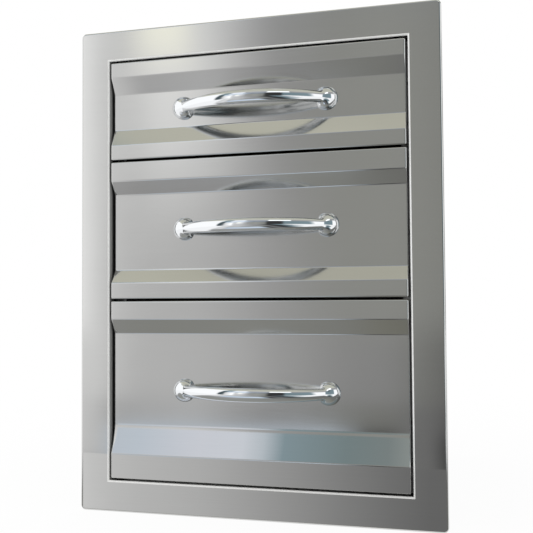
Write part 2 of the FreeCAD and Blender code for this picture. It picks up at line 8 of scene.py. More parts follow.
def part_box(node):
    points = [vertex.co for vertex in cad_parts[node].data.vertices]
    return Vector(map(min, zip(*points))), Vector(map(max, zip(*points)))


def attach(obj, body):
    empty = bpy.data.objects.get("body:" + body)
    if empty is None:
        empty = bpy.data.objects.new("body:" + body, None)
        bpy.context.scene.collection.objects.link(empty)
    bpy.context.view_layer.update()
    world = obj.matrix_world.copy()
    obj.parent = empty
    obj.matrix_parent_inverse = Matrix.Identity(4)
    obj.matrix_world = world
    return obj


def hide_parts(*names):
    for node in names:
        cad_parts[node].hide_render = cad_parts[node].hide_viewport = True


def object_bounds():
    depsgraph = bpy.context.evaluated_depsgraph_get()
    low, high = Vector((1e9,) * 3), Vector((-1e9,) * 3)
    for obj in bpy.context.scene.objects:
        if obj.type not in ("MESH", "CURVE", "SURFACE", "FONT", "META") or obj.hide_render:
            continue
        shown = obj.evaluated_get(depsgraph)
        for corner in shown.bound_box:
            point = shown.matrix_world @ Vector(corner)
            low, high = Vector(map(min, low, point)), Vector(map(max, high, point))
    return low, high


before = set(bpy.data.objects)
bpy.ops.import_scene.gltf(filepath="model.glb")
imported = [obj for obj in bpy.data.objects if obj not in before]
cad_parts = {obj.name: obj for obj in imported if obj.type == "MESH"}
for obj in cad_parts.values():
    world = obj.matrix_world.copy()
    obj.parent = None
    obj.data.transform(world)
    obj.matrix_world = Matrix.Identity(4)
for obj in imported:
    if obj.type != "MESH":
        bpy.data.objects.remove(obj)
cad_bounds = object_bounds()

# The camera: a normal lens a metre off, to the right of the unit and a little below its middle. It looks a
# little up and to the left.
MM = 0.001
view_yaw = math.radians(15.31)
view_pitch = math.radians(2.21)
view_roll = math.radians(-0.39)
view_place = Vector((281.35, -971.99, 261.04)) * MM
view_lens = 55.98
view_sensor = 36.0


def add_object(name, data):
    # A new object at the origin, put into the scene
    piece = bpy.data.objects.new(name, data)
    bpy.context.scene.collection.objects.link(piece)
    return piece


toward = Vector((-math.sin(view_yaw) * math.cos(view_pitch), math.cos(view_yaw) * math.cos(view_pitch),
                 math.sin(view_pitch)))
level_right = Vector((math.cos(view_yaw), math.sin(view_yaw), 0))
level_up = level_right.cross(toward)
right = math.cos(view_roll) * level_right + math.sin(view_roll) * level_up
up = math.cos(view_roll) * level_up - math.sin(view_roll) * level_right
camera = add_object("camera", bpy.data.cameras.new("camera"))
camera.data.lens = view_lens
camera.data.sensor_width = view_sensor
camera.matrix_world = Matrix.Translation(view_place) @ Matrix((right, up, -toward)).transposed().to_4x4()
bpy.context.scene.camera = camera
bpy.context.scene.view_settings.view_transform = "Standard"

# Face frame: 304 stainless sheet, 1.2 mm, folded into a shallow picture-frame flange and brushed along its
# length. Its jambs run back from the opening, and the housing is riveted to them. The fold round the opening
# is rubbed nearly matt with a painted highlight, and the side jambs are greyer, with painted shade deeper in.
frame_low, frame_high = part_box("face_frame")
frame_middle_z = (frame_low.z + frame_high.z) / 2
frame_half_x = frame_high.x
frame_half_z = (frame_high.z - frame_low.z) / 2
frame_front = frame_low.y
jamb_back = frame_high.y
frame_border = 39 * MM
frame_sheet = 1.2 * MM
frame_lip = 10 * MM
frame_edge_radius = 2.5 * MM
frame_corner_radius = 6 * MM
mouth_corner_radius = 0.4 * MM
back_edge_radius = 0.3 * MM
corner_steps = 8
fold_steps = 10
fold_step_angle = math.radians(90 / fold_steps)
sharp_angle = math.radians(32)


def linear(hex_colour):
    # sRGB hex to the linear colour that the shaders take
    parts = [int(hex_colour[i:i + 2], 16) / 255 for i in (1, 3, 5)]
    return tuple(p / 12.92 if p <= 0.04045 else ((p + 0.055) / 1.055) ** 2.4 for p in parts) + (1.0,)


def add_node(tree, kind, settings=None, inputs=None):
    # One node with its own settings; an input takes a value, or the output socket that feeds it
    node = tree.nodes.new(kind)
    for name, value in (settings or {}).items():
        setattr(node, name, value)
    for key, value in (inputs or {}).items():
        if isinstance(value, bpy.types.NodeSocket):
            tree.links.new(value, node.inputs[key])
        else:
            node.inputs[key].default_value = value
    return node


def start_finish(name, metallic):
    # A new material, its tree and shader, and the place on the piece that its patterns are laid out by
    material = bpy.data.materials.new(name)
    material.use_nodes = True
    tree = material.node_tree
    shader = tree.nodes["Principled BSDF"]
    shader.inputs["Metallic"].default_value = metallic
    return material, tree, shader, add_node(tree, "ShaderNodeTexCoord").outputs["Object"]


def lay_finish(tree, shader, colour, tint, pattern, pattern_ends, roughness_ends, relief=None):
    # Feeds the shader: the colour times a tint, a roughness between two ends as a pattern runs between its
    # own, and fine relief, given as its pattern, strength and depth
    if tint:
        base = add_node(tree, "ShaderNodeVectorMath", {"operation": "SCALE"},
                        {"Vector": linear(colour)[:3], "Scale": tint})
        tree.links.new(base.outputs["Vector"], shader.inputs["Base Color"])
    else:
        shader.inputs["Base Color"].default_value = linear(colour)
    rough = add_node(tree, "ShaderNodeMapRange",
                     inputs={"Value": pattern, "From Min": pattern_ends[0], "From Max": pattern_ends[1],
                             "To Min": roughness_ends[0], "To Max": roughness_ends[1]})
    tree.links.new(rough.outputs[0], shader.inputs["Roughness"])
    if relief:
        height, strength, depth = relief
        bump = add_node(tree, "ShaderNodeBump",
                        inputs={"Height": height, "Strength": strength, "Distance": depth})
        tree.links.new(bump.outputs[0], shader.inputs["Normal"])


def mesh_object(name, points, faces, *materials):
    # A new object with a mesh of those points and faces, all smooth and in the first material
    mesh = bpy.data.meshes.new(name)
    mesh.from_pydata([tuple(p) for p in points], [], faces, shade_flat=False)
    for material in materials:
        mesh.materials.append(material)
    return add_object(name, mesh)


def settle(piece):
    # Turns a piece's live modifiers into its plain mesh, and takes them off
    depsgraph = bpy.context.evaluated_depsgraph_get()
    mesh = bpy.data.meshes.new_from_object(piece.evaluated_get(depsgraph), depsgraph=depsgraph)
    piece.modifiers.clear()
    piece.data = mesh


def sheet_piece(name, points, faces, material, thickness=0.0, other_finishes=()):
    # A folded or pressed piece at the origin: flats stay flat in the shading, folds are smooth, and cut edges
    # are sharp. An open shell gets its sheet's thickness inwards. Some faces may have another finish.
    piece = mesh_object(name, points, faces, material, *[finish for finish, finish_faces in other_finishes])
    for place, (finish, finish_faces) in enumerate(other_finishes, 1):
        for face in finish_faces:
            piece.data.polygons[face].material_index = place
    if thickness:
        wall = piece.modifiers.new("sheet", "SOLIDIFY")
        wall.thickness = thickness
        wall.offset = -1.0
        wall.use_even_offset = True
        settle(piece)
    piece.data.set_sharp_from_angle(angle=sharp_angle)
    flats = piece.modifiers.new("flats", "WEIGHTED_NORMAL")
    flats.keep_sharp = True
    settle(piece)
    return piece


def brushed_stainless(name, colour, roughness, anisotropy, grain_width, grain_length, mottle=0.01):
    # Sheet brushed along X with a fine belt: long scratches, which smear what it mirrors across the grain.
    # The scratches are drawn coarser than a real grit, so that they show at arm's length.
    patch_size = 90 * MM
    material, tree, shader, place = start_finish(name, 1.0)
    shader.inputs["Anisotropic"].default_value = anisotropy
    scratches = (1 / (grain_length * MM), 1 / (grain_width * MM), 1 / (grain_width * MM))
    stretched = add_node(tree, "ShaderNodeMapping", inputs={"Vector": place, "Scale": scratches})
    grain = add_node(tree, "ShaderNodeTexNoise",
                     inputs={"Vector": stretched.outputs[0], "Scale": 1.0, "Detail": 3.0, "Roughness": 0.6})
    cloud = add_node(tree, "ShaderNodeTexNoise",
                     inputs={"Vector": place, "Scale": 1 / patch_size, "Detail": 2.0, "Roughness": 0.5})
    streaks = add_node(tree, "ShaderNodeMapRange",
                       inputs={"Value": grain.outputs["Fac"], "From Min": 0.25, "From Max": 0.75,
                               "To Min": 0.985, "To Max": 1.015})
    patches = add_node(tree, "ShaderNodeMapRange",
                       inputs={"Value": cloud.outputs["Fac"], "From Min": 0.35, "From Max": 0.65,
                               "To Min": 1 - mottle, "To Max": 1 + mottle})
    tint = add_node(tree, "ShaderNodeMath", {"operation": "MULTIPLY"},
                    {0: streaks.outputs[0], 1: patches.outputs[0]})
    uneven = add_node(tree, "ShaderNodeMath", {"operation": "MULTIPLY_ADD"},
                      {0: grain.outputs["Fac"], 1: 0.5, 2: cloud.outputs["Fac"]})
    lay_finish(tree, shader, colour, tint.outputs[0], uneven.outputs[0], (0.4, 1.1),
               (roughness - 0.015, roughness + 0.02), relief=(grain.outputs["Fac"], 0.04, 0.05 * MM))
    side = add_node(tree, "ShaderNodeCombineXYZ", inputs={2: 1.0})
    tree.links.new(side.outputs[0], shader.inputs["Tangent"])
    return material


def rubbed_edge_painted_light(name, colour, highlight_to, dark_from):
    # A fold rubbed down with fine abrasive: nearly matt, with short marks, and given a brighter colour as a
    # painted highlight. It keeps that up to the first depth given; from the second on, painted shade darkens
    # it nearly to black.
    mark_size = 2 * MM
    shaded_share = 0.08
    material, tree, shader, place = start_finish(name, 0.25)
    marks = add_node(tree, "ShaderNodeTexNoise",
                     inputs={"Vector": place, "Scale": 1 / mark_size, "Detail": 2.0, "Roughness": 0.5})
    tint = add_node(tree, "ShaderNodeMapRange",
                    inputs={"Value": marks.outputs["Fac"], "From Min": 0.3, "From Max": 0.7,
                            "To Min": 0.94, "To Max": 1.0})
    depth = add_node(tree, "ShaderNodeSeparateXYZ", inputs={"Vector": place}).outputs["Y"]
    # Painted shade: darker the deeper into the opening along Y
    reach = add_node(tree, "ShaderNodeMapRange",
                     inputs={"Value": depth, "From Min": highlight_to, "From Max": dark_from,
                             "To Min": 1.0, "To Max": shaded_share})
    shade = add_node(tree, "ShaderNodeMath", {"operation": "MULTIPLY"},
                     {0: tint.outputs[0], 1: reach.outputs[0]})
    lay_finish(tree, shader, colour, shade.outputs[0], marks.outputs["Fac"], (0.3, 0.7), (0.42, 0.55))
    return material


def frame_ring(inset, y):
    # Points round the frame at a distance in from its edge, the corners rounded less and less
    half_x = frame_half_x - inset
    half_z = frame_half_z - inset
    radius = max(frame_corner_radius - inset, mouth_corner_radius)
    ring = []
    for quarter, (sign_x, sign_z) in enumerate(((1, 1), (-1, 1), (-1, -1), (1, -1))):
        for step in range(corner_steps + 1):
            angle = (quarter + step / corner_steps) * math.pi / 2
            ring.append((sign_x * (half_x - radius) + radius * math.cos(angle), y,
                         frame_middle_z + sign_z * (half_z - radius) + radius * math.sin(angle)))
    return ring


def rounded_path(corners, radii, step_angle):
    # Points along an open 2D path with its corners rounded; arcs are cut into equal small turns
    points = [Vector(corners[0])]
    for i in range(1, len(corners) - 1):
        here = Vector(corners[i])
        way_in = (here - Vector(corners[i - 1])).normalized()
        way_out = (Vector(corners[i + 1]) - here).normalized()
        turn = way_in.angle(way_out)
        reach = radii[i - 1] * math.tan(turn / 2)
        inward = (way_out - way_in).normalized()
        centre = here + inward * radii[i - 1] / math.cos(turn / 2)
        steps = max(2, math.ceil(turn / step_angle))
        start = here - way_in * reach - centre
        side = 1 if way_in.x * way_out.y - way_in.y * way_out.x > 0 else -1
        for step in range(steps + 1):
            angle = side * turn * step / steps
            points.append(centre + Vector((start.x * math.cos(angle) - start.y * math.sin(angle),
                                           start.x * math.sin(angle) + start.y * math.cos(angle))))
    points.append(Vector(corners[-1]))
    return points


section_corners = [(frame_lip, 0.0), (0.0, 0.0), (0.0, frame_front), (frame_border, frame_front),
                   (frame_border, jamb_back)]
section = rounded_path(section_corners, [back_edge_radius, frame_edge_radius, frame_edge_radius],
                       fold_step_angle)
jamb_row = len(section) - 2
mouth_rows = range(jamb_row - fold_steps, jamb_row)
inner_front = frame_front + frame_sheet
section += [Vector(p) for p in (
    (frame_border - frame_sheet, jamb_back), (frame_border - frame_sheet, inner_front),
    (frame_sheet, inner_front), (frame_sheet, -frame_sheet), (frame_lip, -frame_sheet))]
rings = [frame_ring(inset, y) for inset, y in section]
around = len(rings[0])
frame_faces = []
for row in range(len(rings)):
    after = (row + 1) % len(rings)
    for i in range(around):
        beside = (i + 1) % around
        frame_faces.append((row * around + i, row * around + beside,
                            after * around + beside, after * around + i))
left_column = 2 * corner_steps + 1
right_column = 4 * corner_steps + 3
mouth_faces = [row * around + i for row in mouth_rows for i in range(around)]
side_jamb_faces = [jamb_row * around + column for column in (left_column, right_column)]
frame_steel = brushed_stainless("brushed 304 stainless, frame", "#cdcdcc", roughness=0.11, anisotropy=0.4,
                                grain_width=0.8, grain_length=70)
# The fold round the opening: a painted highlight
mouth_highlight = rubbed_edge_painted_light("rubbed stainless edge, painted highlight and shade", "#eeeeec", highlight_to=frame_front + 4 * MM,
                           dark_from=frame_front + 5 * MM)
# The side jambs: greyer, with painted shade deeper into the opening
jamb_shade = rubbed_edge_painted_light("stainless jamb, painted shade", "#a6a6a4", highlight_to=frame_front + 7 * MM,
                         dark_from=frame_front + 12 * MM)
face_frame = sheet_piece("face_frame_folded", [p for ring in rings for p in ring], frame_faces, frame_steel,
                         other_finishes=[(mouth_highlight, mouth_faces), (jamb_shade, side_jamb_faces)])
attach(face_frame, "housing")
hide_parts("face_frame")

# Housing: side, top, bottom and rear panels of 1.2 mm stainless with a plain mill finish, lapped and
# riveted. Nobody sees it once the unit is built in, so it is duller, with faint rolling marks along it.


def finish_nodes(names, material):
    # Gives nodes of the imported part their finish
    for name in names:
        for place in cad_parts[name].material_slots:
            place.material = material


housing_steel = brushed_stainless("mill finish stainless, housing", "#b7b8b8", roughness=0.34,
                                  anisotropy=0.3, grain_width=2.2, grain_length=140, mottle=0.025)
panels = ["side_panel_left", "side_panel_right", "top_panel", "bottom_panel", "rear_panel"]
finish_nodes(panels, housing_steel)

# Rivets and slide screws: blind rivets of plain stainless, each with its broken mandrel in the head, and
# low-head cross-recess screws from outside the side panels into the slides. Cold-formed heads, slightly
# satin. Their sizes are in millimetres.
rivet_sizes = {"Head radius": 3.2, "Head height": 0.9, "Recess radius": 1.0, "Recess depth": 0.5,
               "Shank radius": 1.6, "Tail radius": 2.16, "Tail height": 0.9}
slide_screw_sizes = {"Head radius": 4.0, "Head height": 1.2, "Recess radius": 2.0, "Recess depth": 0.55,
                     "Shank radius": 1.9, "Tail radius": 0.0, "Tail height": 0.0}
cross_width_share = 0.32
dome_sides = 32
dome_rings = 16
joined_within = 0.001 * MM


def cold_formed_steel(name, colour, roughness):
    # Cold-headed steel: satin, with faint flow marks from the die
    mark_size = 1.2 * MM
    material, tree, shader, place = start_finish(name, 1.0)
    marks = add_node(tree, "ShaderNodeTexNoise",
                     inputs={"Vector": place, "Scale": 1 / mark_size, "Detail": 4.0, "Roughness": 0.55})
    tint = add_node(tree, "ShaderNodeMapRange",
                    inputs={"Value": marks.outputs["Fac"], "From Min": 0.3, "From Max": 0.7,
                            "To Min": 0.88, "To Max": 1.0})
    lay_finish(tree, shader, colour, tint.outputs[0], marks.outputs["Fac"], (0.3, 0.7),
               (roughness, roughness + 0.1), relief=(marks.outputs["Fac"], 0.15, 0.05 * MM))
    return material


def fastener_tree(name, crossed):
    # One fastener at each point: a domed head with a cross or a round recess, its shank, and a rivet's tail
    tree = bpy.data.node_groups.new(name, "GeometryNodeTree")
    tree.interface.new_socket("Geometry", in_out="INPUT", socket_type="NodeSocketGeometry")
    for size in (*rivet_sizes, "Shank length"):
        tree.interface.new_socket(size, in_out="INPUT", socket_type="NodeSocketFloat")
    tree.interface.new_socket("Finish", in_out="INPUT", socket_type="NodeSocketMaterial")
    tree.interface.new_socket("Geometry", in_out="OUTPUT", socket_type="NodeSocketGeometry")
    given = add_node(tree, "NodeGroupInput").outputs
    whole_sizes = []
    for radius, length in (("Head radius", "Head height"), ("Recess radius", "Recess depth"),
                           ("Shank radius", "Shank length"), ("Tail radius", "Tail height")):
        size = add_node(tree, "ShaderNodeCombineXYZ",
                        inputs={"X": given[radius], "Y": given[radius], "Z": given[length]})
        whole_sizes.append(size.outputs[0])
    head, recess, shank, tail = whole_sizes
    origin = (0, 0, 0)

    def placed(shape, size, times, shift, seat=origin):
        # A unit shape brought to so many times a size, and moved from its seat by a share of that size
        scale = add_node(tree, "ShaderNodeVectorMath", {"operation": "MULTIPLY"}, {0: size, 1: times})
        move = add_node(tree, "ShaderNodeVectorMath", {"operation": "MULTIPLY_ADD"},
                        {0: size, 1: shift, 2: seat})
        moved = add_node(tree, "GeometryNodeTransform",
                         inputs={"Geometry": shape.outputs["Mesh"], "Translation": move.outputs[0],
                                 "Scale": scale.outputs[0]})
        return moved.outputs[0]

    ball = add_node(tree, "GeometryNodeMeshUVSphere",
                    inputs={"Segments": dome_sides, "Rings": dome_rings, "Radius": 1.0})
    block = add_node(tree, "GeometryNodeMeshCube", inputs={"Size": (1, 1, 1)})
    rod = add_node(tree, "GeometryNodeMeshCylinder",
                   inputs={"Vertices": dome_sides, "Radius": 1.0, "Depth": 1.0})
    crown = add_node(tree, "ShaderNodeVectorMath", {"operation": "MULTIPLY"}, {0: head, 1: (0, 0, 1)})
    cutters = [placed(block, head, (3, 3, 2), (0, 0, -1))]
    if crossed:
        for times in ((2, cross_width_share, 2), (cross_width_share, 2, 2)):
            cutters.append(placed(block, recess, times, origin, crown.outputs[0]))
    else:
        cutters.append(placed(rod, recess, (1, 1, 2), origin, crown.outputs[0]))
    cut_head = add_node(tree, "GeometryNodeMeshBoolean", {"operation": "DIFFERENCE", "solver": "EXACT"},
                        {"Mesh 1": placed(ball, head, (1, 1, 1), origin)})
    for cutter in cutters:
        tree.links.new(cutter, cut_head.inputs["Mesh 2"])
    parts = [cut_head.outputs["Mesh"], placed(rod, shank, (1, 1, 1), (0, 0, -0.5))]
    if not crossed:
        shank_end = add_node(tree, "ShaderNodeVectorMath", {"operation": "MULTIPLY"},
                             {0: shank, 1: (0, 0, -1)})
        parts.append(placed(ball, tail, (1, 1, 0.5), (0, 0, -0.5), shank_end.outputs[0]))
    whole = add_node(tree, "GeometryNodeJoinGeometry")
    for part in parts:
        tree.links.new(part, whole.inputs[0])
    angle = add_node(tree, "GeometryNodeInputMeshEdgeAngle")
    gentle = add_node(tree, "FunctionNodeCompare", {"data_type": "FLOAT", "operation": "LESS_THAN"},
                      {0: angle.outputs[0], 1: sharp_angle})
    smooth = add_node(tree, "GeometryNodeSetShadeSmooth", {"domain": "EDGE"},
                      {"Geometry": whole.outputs[0], "Shade Smooth": gentle.outputs[0]})
    facing = add_node(tree, "GeometryNodeInputNamedAttribute", {"data_type": "FLOAT_VECTOR"},
                      {"Name": "facing"})
    turn = add_node(tree, "FunctionNodeAlignRotationToVector", {"axis": "Z"},
                    {"Vector": facing.outputs["Attribute"]})
    set_out = add_node(tree, "GeometryNodeInstanceOnPoints",
                       inputs={"Points": given["Geometry"], "Instance": smooth.outputs[0],
                               "Rotation": turn.outputs[0]})
    real = add_node(tree, "GeometryNodeRealizeInstances", inputs={"Geometry": set_out.outputs[0]})
    finished = add_node(tree, "GeometryNodeSetMaterial",
                        inputs={"Geometry": real.outputs[0], "Material": given["Finish"]})
    add_node(tree, "NodeGroupOutput", inputs={"Geometry": finished.outputs[0]})
    return tree


def solid_boxes(node):
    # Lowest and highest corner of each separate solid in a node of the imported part
    shape = bmesh.new()
    shape.from_mesh(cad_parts[node].data)
    bmesh.ops.remove_doubles(shape, verts=shape.verts, dist=joined_within)
    boxes = []
    seen = set()
    for first in shape.verts:
        if first in seen:
            continue
        seen.add(first)
        waiting = [first]
        corners = []
        while waiting:
            vertex = waiting.pop()
            corners.append(vertex.co.copy())
            for edge in vertex.link_edges:
                other = edge.other_vert(vertex)
                if other not in seen:
                    seen.add(other)
                    waiting.append(other)
        boxes.append((Vector([min(c[i] for c in corners) for i in range(3)]),
                      Vector([max(c[i] for c in corners) for i in range(3)])))
    shape.free()
    return boxes


def fasteners(node, body, tree, sizes, heads_out=True):
    # Sets one fastener where each solid of the node is, its head away from the unit's middle or towards it
    head_height = sizes["Head height"] * MM
    seats = []
    facings = []
    for low, high in solid_boxes(node):
        extent = high - low
        middle_extent = sorted(extent)[1]
        axis = max(range(3), key=lambda i: abs(extent[i] - middle_extent))
        centre = (low + high) / 2
        outwards = centre[axis] > (frame_middle_z if axis == 2 else 0)
        towards_high = outwards == heads_out
        seat = centre.copy()
        seat[axis] = high[axis] - head_height if towards_high else low[axis] + head_height
        facing = Vector((0, 0, 0))
        facing[axis] = 1 if towards_high else -1
        seats.append(seat)
        facings.append(facing)
        shank_length = extent[axis] - head_height - sizes["Tail height"] * MM
    piece = mesh_object(node + "_set", seats, [])
    ways = piece.data.attributes.new("facing", "FLOAT_VECTOR", "POINT")
    ways.data.foreach_set("vector", [c for facing in facings for c in facing])
    build = piece.modifiers.new("fasteners", "NODES")
    build.node_group = tree
    for socket in tree.interface.items_tree:
        if socket.in_out == "INPUT" and socket.name in sizes:
            build[socket.identifier] = sizes[socket.name] * MM
        elif socket.name == "Shank length":
            build[socket.identifier] = shank_length
        elif socket.name == "Finish":
            build[socket.identifier] = screw_steel
    settle(piece)
    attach(piece, body)
    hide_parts(node)


rivet_tree = fastener_tree("blind rivets", False)
screw_tree = fastener_tree("cross recess screws", True)
screw_steel = cold_formed_steel("cold formed stainless, screws and rivets", "#cdccca", roughness=0.26)
fasteners("housing_rivets", "housing", rivet_tree, rivet_sizes)
fasteners("slide_screws", "housing", screw_tree, slide_screw_sizes)

# Drawer fronts: one 1.0 mm sheet each, pressed into a shallow pan. Flat bands at top and bottom, sloping
# folds down to a recessed panel, and a tall cove at the foot of the lowest one. Brushed along its length.
# front_folds gives the heights of top band, upper fold, panel and lower fold in millimetres.
front_sheet = 1.0 * MM
fold_radius = 4 * MM
rim_radius = 2 * MM
side_rim_radius = 1.8 * MM
cove_hollow = 2 * MM
cove_share = 0.9
side_steps = 5
plain_step_angle = math.radians(4)
cove_step_angle = math.radians(2)
drawer_names = ("upper", "middle", "lower")
front_depths = {"upper": 9.5 * MM, "middle": 11 * MM, "lower": 10 * MM}
front_folds = {
    "upper": (19, 20.5, 46, 21),
    "middle": (24.5, 17, 96, 16.5),
    "lower": (23, 18, 116, 34),
}


def front_profile(name, low, high):
    # The front from the side: (y, z) down from the back of its top return to the back of its bottom one.
    # The cove's corner lies behind a straight slope, and its arc takes most of the slope's length
    band, fold, panel, lower_fold = [height * MM for height in front_folds[name]]
    recess = low.y + front_depths[name]
    band_end = high.z - band
    panel_top = band_end - fold
    panel_end = Vector((recess, panel_top - panel))
    fold_end = Vector((low.y, panel_end.y - lower_fold))
    corners = [(high.y, high.z), (low.y, high.z), (low.y, band_end), (recess, panel_top), panel_end]
    radii = [rim_radius, fold_radius, fold_radius, fold_radius]
    if name == "lower":
        slope_way = fold_end - panel_end
        behind = Vector((-slope_way.y, slope_way.x)).normalized()
        corners.append((panel_end + fold_end) / 2 + behind * cove_hollow)
        radii.append(cove_share * slope_way.length_squared / 4 / cove_hollow)
    corners += [fold_end, (low.y, low.z), (high.y, low.z)]
    radii += [fold_radius, rim_radius]
    return rounded_path(corners, radii, cove_step_angle if name == "lower" else plain_step_angle)


def front_shell(profile, half_width, back):
    # Grid down the profile and across the width, whose ends roll over a small radius into the side returns
    rows = len(profile)
    roll = [step / side_steps * math.pi / 2 for step in range(side_steps + 1)]
    across = [(half_width - side_rim_radius * (1 - math.sin(a)), side_rim_radius * (1 - math.cos(a)))
              for a in roll]
    columns = [(-x, drop) for x, drop in reversed(across)] + across
    wide = len(columns)
    points = []
    for i, point in enumerate(profile):
        way = (profile[min(i + 1, rows - 1)] - profile[max(i - 1, 0)]).normalized()
        inward = Vector((-way.y, way.x))
        for x, drop in columns:
            place = point + inward * drop
            points.append((x, place.x, place.y))
    faces = [(r * wide + c, (r + 1) * wide + c, (r + 1) * wide + c + 1, r * wide + c + 1)
             for r in range(rows - 1) for c in range(wide - 1)]
    for column in (0, wide - 1):
        backs = [column]
        for r in range(2, rows - 2):
            backs.append(len(points))
            points.append((points[r * wide + column][0], back, points[r * wide + column][2]))
        backs.append((rows - 1) * wide + column)
        for r in range(1, rows - 2):
            quad = [r * wide + column, backs[r - 1], backs[r], (r + 1) * wide + column]
            faces.append(tuple(quad if column == 0 else reversed(quad)))
    return points, faces


front_steel = brushed_stainless("brushed 304 stainless, fronts", "#cdcdcc", roughness=0.11, anisotropy=0.4,
                                grain_width=0.8, grain_length=70)
for name in drawer_names:
    node = name + "_front_panel"
    low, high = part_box(node)
    points, faces = front_shell(front_profile(name, low, high), high.x, high.y)
    front = sheet_piece(name + "_front_pressed", points, faces, front_steel, front_sheet)
    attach(front, name + "_drawer")
    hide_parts(node)

# Liners and bumpers: a plain folded sheet closes the back of each front, and four rubber buttons pushed
# into it meet the stops. Liners are mill finish like the housing.


def moulded_rubber(name, colour):
    # Black nitrile rubber, matt and slightly grainy from its mould
    grain_size = 0.5 * MM
    material, tree, shader, place = start_finish(name, 0.0)
    grain = add_node(tree, "ShaderNodeTexNoise",
                     inputs={"Vector": place, "Scale": 1 / grain_size, "Detail": 2.0})
    tint = add_node(tree, "ShaderNodeMapRange",
                    inputs={"Value": grain.outputs["Fac"], "To Min": 0.8, "To Max": 1.3})
    lay_finish(tree, shader, colour, tint.outputs[0], grain.outputs["Fac"], (0.0, 1.0), (0.55, 0.75),
               relief=(grain.outputs["Fac"], 0.3, 0.1 * MM))
    return material


rubber = moulded_rubber("moulded nitrile rubber", "#1c1c1c")
finish_nodes([name + "_front_liner" for name in drawer_names], housing_steel)
finish_nodes([name + "_bumpers" for name in drawer_names], rubber)

# Handles: die-cast zinc, polished and chromed. A bow that thickens to its middle crosses two low feet, round
# on the outside and square within, and runs out into them. Two screws from inside the tray hold each.
# The sizes are in millimetres; a pair is half the bow's height, then half its depth.
handle_span = 186.5
handle_stand = 38.0
handle_root = 5.0
bow_end = (6.25, 4.5)
bow_mid = (8.25, 5.5)
bow_overrun = 6.0
foot_radius = 14.5
foot_width = 24.0
foot_stand = 12.0
foot_cut_radius = 1.0
casting_blend = 4.0
casting_cell = 0.8
casting_margin = 3.0
casting_rounds = 3
slope_step = 0.05
nearly_nothing = 1e-9
bow_rise = handle_stand - handle_root
bow_radius = ((handle_span / 2) ** 2 + bow_rise ** 2) / (2 * bow_rise)
bow_end_angle = math.asin((handle_span / 2 + bow_overrun) / bow_radius)


def bow_distance(p):
    # About how far points (mm, with Y from the panel) are outside the bow, an arc with an oval section
    x = p[..., 0]
    y = bow_radius - handle_stand - p[..., 1]
    share = np.cos(np.clip(np.arctan2(x, y) / bow_end_angle, -1, 1) * math.pi / 2)
    half_height = bow_end[0] + (bow_mid[0] - bow_end[0]) * share
    half_depth = bow_end[1] + (bow_mid[1] - bow_end[1]) * share
    away = np.hypot(x, y) - bow_radius
    rise = p[..., 2]
    first = np.hypot(away / half_depth, rise / half_height)
    second = np.hypot(away / half_depth ** 2, rise / half_height ** 2) + nearly_nothing
    past_end = (np.abs(np.arctan2(x, y)) - bow_end_angle) * bow_radius
    return np.maximum(first * (first - 1) / second, past_end)


def foot_distance(p):
    # The nearer foot: a round dome on the panel, cut off square on its inner side
    out = np.abs(p[..., 0]) - handle_span / 2
    across = np.hypot(out + foot_radius - foot_width / 2, p[..., 2])
    height = -p[..., 1]
    first = np.hypot(across / foot_radius, height / foot_stand)
    second = np.hypot(across / foot_radius ** 2, height / foot_stand ** 2) + nearly_nothing
    dome = first * (first - 1) / second + foot_cut_radius
    cut = foot_cut_radius - foot_width / 2 - out
    inside = np.minimum(np.maximum(dome, cut), 0)
    return inside + np.hypot(np.maximum(dome, 0), np.maximum(cut, 0)) - foot_cut_radius


def handle_distance(p):
    # Bow and feet run into each other as in a casting, and end flat on the panel
    bow = bow_distance(p)
    foot = foot_distance(p)
    near = np.maximum(casting_blend - np.abs(bow - foot), 0) / casting_blend
    whole = np.minimum(bow, foot) - near ** 3 * casting_blend / 6
    return np.maximum(whole, p[..., 1])


def slope(points):
    # Direction in which the handle's distance grows, at each point
    parts = []
    for axis in range(3):
        shift = np.zeros(3)
        shift[axis] = slope_step
        parts.append((handle_distance(points + shift) - handle_distance(points - shift)) / (2 * slope_step))
    return np.stack(parts, axis=-1)


def skin(distance, low, high, cell):
    # Closed skin of four-sided faces where the distance is zero, with a point in each cell that it crosses
    counts = np.ceil((np.array(high) - low) / cell).astype(int) + 1
    axes = [low[i] + cell * np.arange(counts[i]) for i in range(3)]
    values = distance(np.stack(np.meshgrid(*axes, indexing="ij"), axis=-1))
    total = np.zeros(tuple(counts - 1) + (3,))
    hits = np.zeros(tuple(counts - 1), dtype=int)
    rings = []
    for axis in range(3):
        one, two = (axis + 1) % 3, (axis + 2) % 3
        start = [slice(None)] * 3
        start[axis] = slice(0, -1)
        end = [slice(None)] * 3
        end[axis] = slice(1, None)
        before, after = values[tuple(start)], values[tuple(end)]
        crossed = (before < 0) != (after < 0)
        index = np.argwhere(crossed)
        place = low + cell * index
        place[:, axis] += cell * before[crossed] / (before[crossed] - after[crossed])
        ring = []
        for back_one, back_two in ((0, 0), (1, 0), (1, 1), (0, 1)):
            beside = index.copy()
            beside[:, one] -= back_one
            beside[:, two] -= back_two
            np.add.at(total, tuple(beside.T), place)
            np.add.at(hits, tuple(beside.T), 1)
            ring.append(np.ravel_multi_index(tuple(beside.T), hits.shape))
        ring = np.stack(ring, axis=1)
        flip = before[crossed] > 0
        ring[flip] = ring[flip][:, ::-1]
        rings.append(ring)
    used = hits.ravel() > 0
    numbers = np.cumsum(used) - 1
    points = total.reshape(-1, 3)[used] / hits.ravel()[used][:, None]
    return points, numbers[np.concatenate(rings)]


